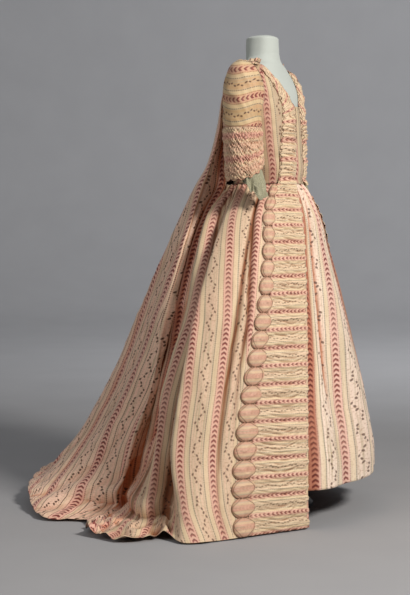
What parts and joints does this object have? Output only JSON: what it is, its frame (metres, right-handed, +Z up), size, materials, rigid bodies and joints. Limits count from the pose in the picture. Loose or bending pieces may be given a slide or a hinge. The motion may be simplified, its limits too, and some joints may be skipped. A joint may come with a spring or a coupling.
{
  "type": "robe a la francaise on a dress form",
  "caption": "Open silk gown with pleated sack back, train, gathered trims and elbow sleeves over a petticoat, worn by a headless, limbless dress form on a floor stand.",
  "frame": {"origin": "Centre of the underside of the stand's base, on the floor.", "axes": "+Z up. The wearer faces -Y, and the wearer's right is -X. The train runs back along +Y."},
  "size_m": [1.3492, 1.1276, 1.4373],
  "materials": {
    "silk": "woven silk taffeta, cream ground with fine stripes",
    "trim_silk": "the same silk, gathered",
    "gauze": "thin crumpled net",
    "form_cloth": "smooth stretched cotton cover",
    "stand_metal": "satin paint"
  },
  "bodies": {
    "root": {"sack_back_right": "silk", "sack_back_left": "silk", "skirt_side_right": "silk", "skirt_side_left": "silk", "petticoat": "silk", "bodice_front_right": "silk", "bodice_front_left": "silk", "bodice_back_right": "silk", "bodice_back_left": "silk", "stomacher": "silk", "sleeve_right": "silk", "sleeve_left": "silk", "sleeve_cuff_right": "trim_silk", "sleeve_cuff_left": "trim_silk", "sleeve_gauze_right": "gauze", "sleeve_gauze_left": "gauze", "robing_right": "trim_silk", "robing_left": "trim_silk", "neck_ruffle_right": "trim_silk", "neck_ruffle_left": "trim_silk", "skirt_band_right": "trim_silk", "skirt_band_left": "trim_silk", "puff_strip_right": "trim_silk", "puff_strip_left": "trim_silk", "form_torso": "form_cloth", "stand_pole": "stand_metal", "stand_base": "stand_metal"}
  },
  "joints": []
}
